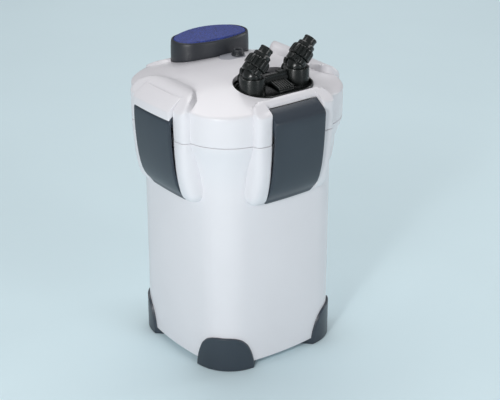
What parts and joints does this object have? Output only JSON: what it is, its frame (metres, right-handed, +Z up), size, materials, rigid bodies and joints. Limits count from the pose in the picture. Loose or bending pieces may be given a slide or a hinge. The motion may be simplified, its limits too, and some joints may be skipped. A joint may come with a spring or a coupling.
{
  "type": "canister water filter",
  "caption": "Upright canister water filter with bowed white housing, hinged latches, corner feet, push-button primer and an angled two-port hose valve block.",
  "frame": {"origin": "on the floor under the middle of the latches' outline, which is the canister's centre line", "axes": "+Z up along the canister; -Y towards the valve block side; +X along the valve block's long side, the way both hose tails lean"},
  "size_m": [0.2652, 0.2652, 0.4214],
  "materials": {
    "white_plastic": "white moulded ABS, satin gloss",
    "grey_plastic": "light grey moulded plastic",
    "slate_plastic": "slate grey moulded plastic, fine satin",
    "dark_plastic": "dark grey moulded plastic",
    "blue_pad": "blue textured grip pad",
    "black_plastic": "black moulded plastic, low gloss",
    "clear_plastic": "natural white polypropylene",
    "seal_rubber": "soft seal rubber",
    "steel": "plain stainless steel",
    "copper": "enamelled winding wire, potted",
    "magnet": "sintered ferrite",
    "ceramic": "porous fired ceramic pieces",
    "foam_blue": "open-cell coarse foam",
    "foam_white": "fine filter floss"
  },
  "bodies": {
    "housing": {"canister": "white_plastic", "head_cover": "white_plastic", "head_base": "grey_plastic", "head_seal": "seal_rubber", "base_screws": "steel", "foot_front_left": "slate_plastic", "foot_front_right": "slate_plastic", "foot_rear_left": "slate_plastic", "foot_rear_right": "slate_plastic", "pin_left": "steel", "pin_right": "steel", "pin_front": "steel", "pin_rear": "steel", "cap_left": "white_plastic", "cap_right": "white_plastic", "cap_rear": "white_plastic", "prime_cylinder": "clear_plastic", "valve_tray": "black_plastic", "valve_screws": "steel", "elbow_inlet": "black_plastic", "elbow_outlet": "black_plastic", "tail_inlet": "black_plastic", "tail_outlet": "black_plastic", "port_seals": "seal_rubber", "gland_boss": "grey_plastic", "cable_gland": "dark_plastic", "stator_core": "steel", "stator_coils": "copper", "rotor_shaft": "steel", "pump_chamber": "clear_plastic", "riser_tube": "clear_plastic", "basket_lower": "clear_plastic", "basket_middle": "clear_plastic", "basket_upper": "clear_plastic", "basket_grid": "clear_plastic", "ceramic_media": "ceramic", "coarse_foam": "foam_blue", "fine_foam": "foam_white"},
    "latch_left": {"latch_left": "slate_plastic"},
    "latch_right": {"latch_right": "slate_plastic"},
    "latch_front": {"latch_front": "slate_plastic"},
    "latch_rear": {"latch_rear": "slate_plastic"},
    "prime_button": {"prime_button": "dark_plastic", "prime_pad": "blue_pad", "prime_piston": "clear_plastic", "prime_ring": "seal_rubber", "prime_spring": "steel"},
    "lock_lever": {"lock_lever": "black_plastic"},
    "tap_inlet": {"tap_inlet": "black_plastic"},
    "tap_outlet": {"tap_outlet": "black_plastic"},
    "nut_inlet": {"nut_inlet": "black_plastic"},
    "nut_outlet": {"nut_outlet": "black_plastic"},
    "impeller": {"impeller": "clear_plastic", "rotor_magnet": "magnet"}
  },
  "joints": [
    {"name": "latch_left_hinge", "type": "hinge", "parent": "housing", "child": "latch_left", "pos_m": [-0.1225, 0, 0.337], "axis": [0, 1, 0], "range_deg": [0, 50]},
    {"name": "latch_right_hinge", "type": "hinge", "parent": "housing", "child": "latch_right", "pos_m": [0.1225, 0, 0.337], "axis": [0, -1, 0], "range_deg": [0, 50]},
    {"name": "latch_front_hinge", "type": "hinge", "parent": "housing", "child": "latch_front", "pos_m": [0, -0.12, 0.338], "axis": [-1, 0, 0], "range_deg": [0, 50]},
    {"name": "latch_rear_hinge", "type": "hinge", "parent": "housing", "child": "latch_rear", "pos_m": [0, 0.1225, 0.337], "axis": [1, 0, 0], "range_deg": [0, 50]},
    {"name": "prime_press", "type": "slide", "parent": "housing", "child": "prime_button", "axis": [0, 0, 1], "range_m": [-0.013, 0], "stiffness_N_per_m": 500, "springref_m": 0.012, "deforming": ["prime_spring"]},
    {"name": "lock_lever_hinge", "type": "hinge", "parent": "housing", "child": "lock_lever", "pos_m": [0.009, -0.066, 0.374], "axis": [-1, 0, 0], "range_deg": [0, 80]},
    {"name": "tap_inlet_turn", "type": "hinge", "parent": "housing", "child": "tap_inlet", "pos_m": [-0.025, -0.045, 0.377], "axis": [0, 1, 0], "range_deg": [0, 90]},
    {"name": "tap_outlet_turn", "type": "hinge", "parent": "housing", "child": "tap_outlet", "pos_m": [0.044, -0.045, 0.377], "axis": [0, 1, 0], "range_deg": [0, 90]},
    {"name": "nut_inlet_turn", "type": "hinge", "parent": "housing", "child": "nut_inlet", "pos_m": [-0.01769, -0.066, 0.39981], "axis": [0.7071, 0, 0.7071], "continuous": true},
    {"name": "nut_outlet_turn", "type": "hinge", "parent": "housing", "child": "nut_outlet", "pos_m": [0.05131, -0.066, 0.39981], "axis": [0.7071, 0, 0.7071], "continuous": true},
    {"name": "impeller_spin", "type": "hinge", "parent": "housing", "child": "impeller", "pos_m": [0, 0.008, 0.31], "axis": [0, 0, 1], "continuous": true}
  ]
}
